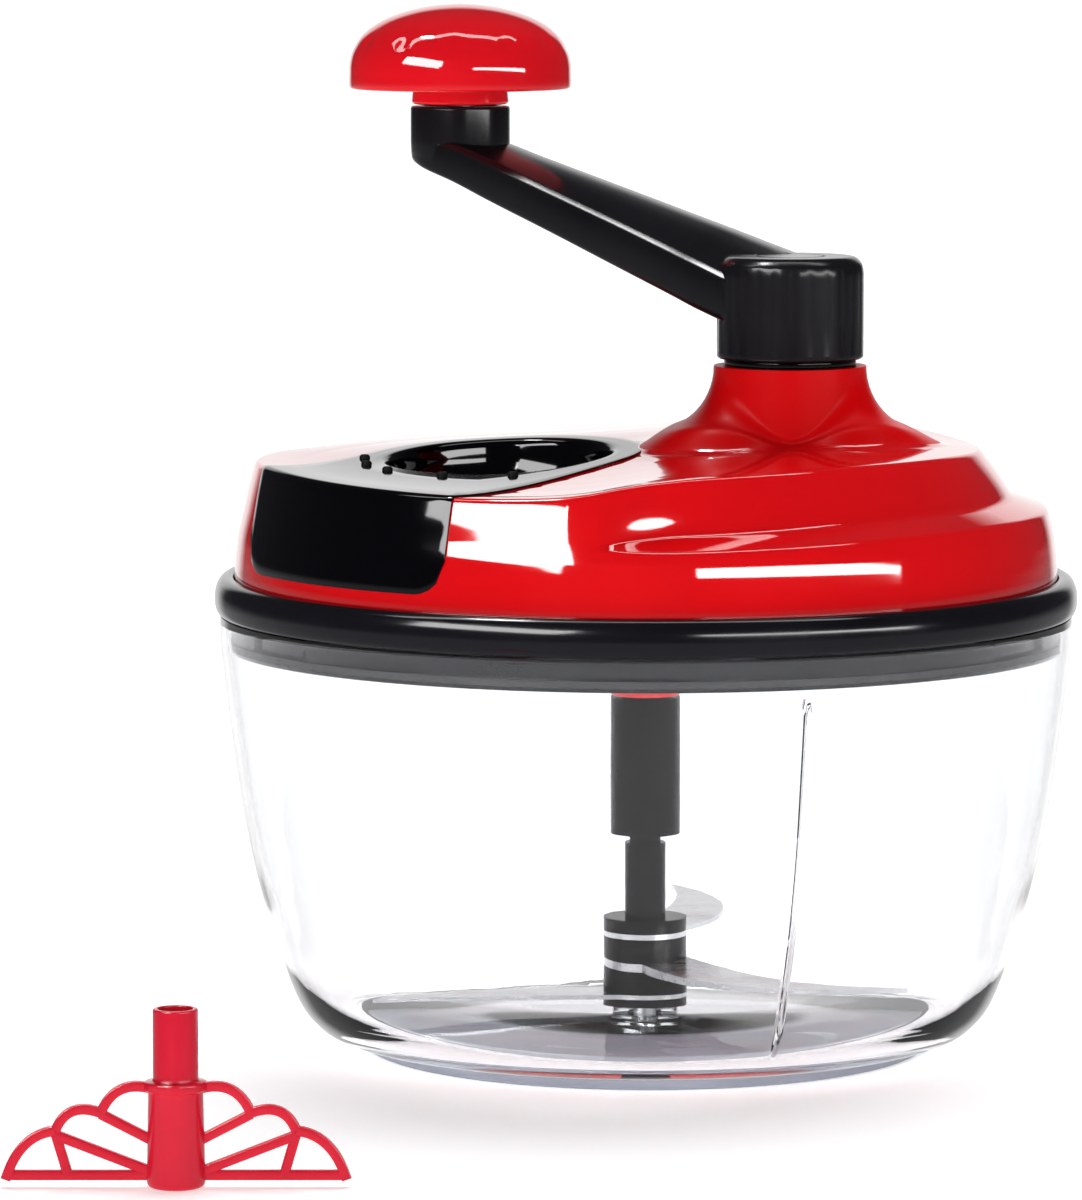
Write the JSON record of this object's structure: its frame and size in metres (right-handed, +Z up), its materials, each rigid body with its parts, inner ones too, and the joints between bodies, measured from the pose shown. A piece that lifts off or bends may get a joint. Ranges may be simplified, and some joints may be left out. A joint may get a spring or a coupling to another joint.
{
  "type": "crank food chopper",
  "caption": "Hand cranked food chopper: clear round bowl, geared lid with feed chute and crank arm, chopping blades on a floor pin, and a whisk paddle.",
  "frame": {"origin": "centre of the bowl's foot pad, on the surface it stands on", "axes": "+Z up along the bowl's axis, +X towards the crank's axis, -Y towards the front with the whisk paddle"},
  "size_m": [0.2203, 0.2651, 0.2237],
  "materials": {
    "clear_plastic": "clear, glossy",
    "pad_rubber": "translucent grey, soft",
    "red_plastic": "glossy",
    "black_plastic": "glossy",
    "satin_black": "satin",
    "natural_plastic": "low friction, satin",
    "steel": "brushed",
    "seal_rubber": "soft",
    "crimson_plastic": "glossy"
  },
  "bodies": {
    "bowl": {"bowl": "clear_plastic", "foot_pad": "pad_rubber", "pivot_pin": "steel"},
    "lid": {"lid_shell": "red_plastic", "rim_ring": "black_plastic", "skirt_seal": "seal_rubber", "feed_chute": "black_plastic", "gear_cover_plate": "red_plastic", "plate_screws": "steel", "upper_bush": "natural_plastic", "lower_bush": "natural_plastic", "spindle_bush": "natural_plastic"},
    "crank": {"crank_shaft": "steel", "drive_gear": "natural_plastic", "shaft_clip": "steel", "hub_washer": "satin_black", "crank_arm": "satin_black", "crank_screw": "steel", "hub_cap": "satin_black", "knob_pin": "steel"},
    "knob": {"knob_base": "red_plastic", "knob_dome": "red_plastic"},
    "spindle": {"drive_spindle": "black_plastic", "spindle_pinion": "natural_plastic", "pinion_screw": "steel"},
    "blade": {"blade_carrier": "black_plastic", "lower_blade": "steel", "middle_blade": "steel", "upper_blade": "steel"},
    "whisk": {"whisk_paddle": "crimson_plastic"}
  },
  "joints": [
    {"name": "lid_lift", "type": "slide", "parent": "bowl", "child": "lid", "axis": [0, 0, 1], "range_m": [0, 0.09]},
    {"name": "crank_turn", "type": "hinge", "parent": "lid", "child": "crank", "pos_m": [0.031, 0, 0.1], "axis": [0, 0, 1], "continuous": true},
    {"name": "knob_spin", "type": "hinge", "parent": "crank", "child": "knob", "pos_m": [-0.04063, 0.0601, 0.205], "axis": [0, 0, 1], "continuous": true},
    {"name": "spindle_turn", "type": "hinge", "parent": "lid", "child": "spindle", "pos_m": [0, 0, 0.1], "axis": [0, 0, 1], "continuous": true},
    {"name": "blade_turn", "type": "hinge", "parent": "bowl", "child": "blade", "pos_m": [0, 0, 0.02], "axis": [0, 0, 1], "continuous": true},
    {"name": "whisk_lift", "type": "slide", "parent": "bowl", "child": "whisk", "axis": [0, 0, 1], "range_m": [0, 0.1]}
  ],
  "couplings": [
    {"joint": "spindle_turn", "follows": "crank_turn", "ratio": -4.1667},
    {"joint": "blade_turn", "follows": "crank_turn", "ratio": -4.1667}
  ]
}
